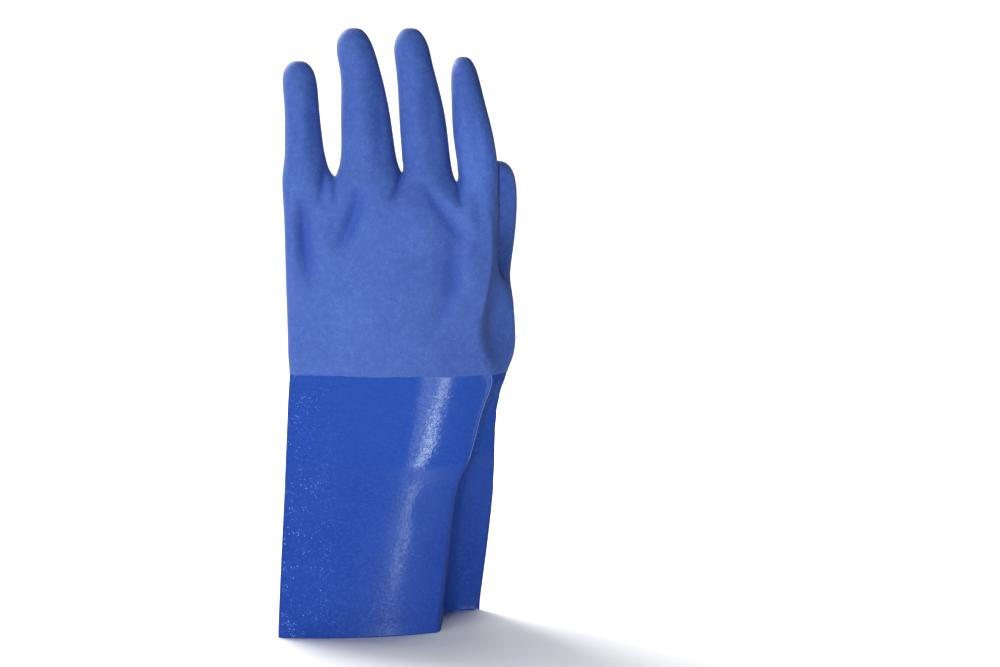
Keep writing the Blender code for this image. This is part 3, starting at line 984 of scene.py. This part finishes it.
def only(name, *objects):
    """A collection that a light can be limited to."""
    group = bpy.data.collections.new(name)
    for obj in objects:
        group.objects.link(obj)
    return group


windows_light = only("windows_light", shell)
windows_are_blocked_by = only("windows_are_blocked_by", shell, coat)
for window in WINDOWS:
    aim = Vector((WINDOW_AIM_X, WINDOW_AIM_Y, window.place.z))
    lamp = softbox(window.name, window.place, window.width, window.length, window.watts, aim, window.roll)
    lamp.data.color = WINDOW_COLOUR
    lamp.light_linking.receiver_collection = windows_light
    lamp.light_linking.blocker_collection = windows_are_blocked_by

# %% [markdown]
# ## Snoots for the thumb
# The thumb lies behind the hand, in its shade. A snoot is a tube that narrows a spot light down to a small
# round patch; one is aimed past the index finger at the thumb and one at the ball of the thumb, so that the
# web between them stays dark. They light the grip coat alone.

# %% Snoots
SNOOT_BLEND = 0.4
SNOOT_RADIUS = 0.04
Snoot = namedtuple("Snoot", "name place target spread watts")
SNOOTS = (
    Snoot("thumb_snoot", Vector((0.05, -1.25, 0.30)), Vector((0.091, 0, 0.268)), 2.6, 140),
    Snoot("thumb_ball_snoot", Vector((0.45, -1.15, 0.20)), Vector((0.080, 0, 0.168)), 2.6, 62),
)
snoots_light = only("snoots_light", coat)
for snoot in SNOOTS:
    light = bpy.data.lights.new(snoot.name, "SPOT")
    light.energy = snoot.watts
    light.spot_size = math.radians(snoot.spread)
    light.spot_blend = SNOOT_BLEND
    light.shadow_soft_size = SNOOT_RADIUS
    lamp = hung(snoot.name, light, snoot.place, snoot.target)
    lamp.visible_glossy = False
    lamp.light_linking.receiver_collection = snoots_light

# %% [markdown]
# ## Black card, backdrop and air
# White paper on every side would fill the thumb's side with light and flatten it. A black card just outside
# the picture takes that light away. A wash of its own keeps the backdrop white, and the air around is a
# faint blue, which tints the shades the way a blue glove tints its own surroundings.

# %% Card and air
CARD_PLACE = 0.30
CARD_FRONT, CARD_BACK = 0.02, 1.6
CARD_TOP = 1.3
FELT_BLACK, FELT_GREY = (0.010, 0.010, 0.010), (0.018, 0.018, 0.018)
WASH_PLACE, WASH_AIM = Vector((0.0, 0.6, 2.4)), Vector((0, 2.6, 0.8))
AIR_COLOUR = (0.55, 0.72, 1.0, 1)
AIR_STRENGTH = 0.12


def black_card():
    corners = ((CARD_FRONT, 0.0), (CARD_BACK, 0.0), (CARD_BACK, CARD_TOP), (CARD_FRONT, CARD_TOP))
    data = bpy.data.meshes.new("black_card")
    data.from_pydata([(CARD_PLACE, y, z) for y, z in corners], [], [(0, 1, 2, 3)])
    look = Finish("black_felt")
    nap = look.noise(size=0.004, detail=3)
    look.set(Base_Color=look.mixed(nap, FELT_BLACK, FELT_GREY), Roughness=1.0)
    data.materials.append(look.material)
    card = linked("black_card", data)
    card.visible_camera = False
    card.visible_shadow = False


black_card()
wash = softbox("backdrop_light", WASH_PLACE, width=3.0, height=1.0, watts=120, aim=WASH_AIM)
wash.light_linking.receiver_collection = only("backdrop_lights", paper)
world = bpy.data.worlds.new("studio_air")
bpy.context.scene.world = world
world.use_nodes = True
air = world.node_tree.nodes["Background"].inputs
air["Color"].default_value = AIR_COLOUR
air["Strength"].default_value = AIR_STRENGTH
bpy.context.scene.view_settings.view_transform = "Standard"

# %% [markdown]
# ## The camera
# The camera stands 85 cm in front of the glove at two thirds of its height and looks slightly down, which
# is what the photograph's proportions ask for: the far side of the hem shows a little higher than the near.

# %% Camera
CAMERA_PLACE = Vector((0.058, -0.850, 0.232))
CAMERA_DOWN = 3.8
LENS = 54.0
SENSOR = 36.0
view = bpy.data.cameras.new("camera")
view.lens = LENS
view.sensor_width = SENSOR
camera = bpy.data.objects.new("camera", view)
camera.location = CAMERA_PLACE + SHIFT
camera.rotation_euler = (math.radians(90 - CAMERA_DOWN), 0, 0)
bpy.context.scene.collection.objects.link(camera)
bpy.context.scene.camera = camera
print("camera at", [round(c, 3) for c in camera.location])

# %% [markdown]
# ## Clearing away
# The cage and the two smooth surfaces were only steps on the way, so their meshes are removed.

# %% Clear away
for mesh in (cage, shell_surface, coat_surface):
    bpy.data.meshes.remove(mesh)
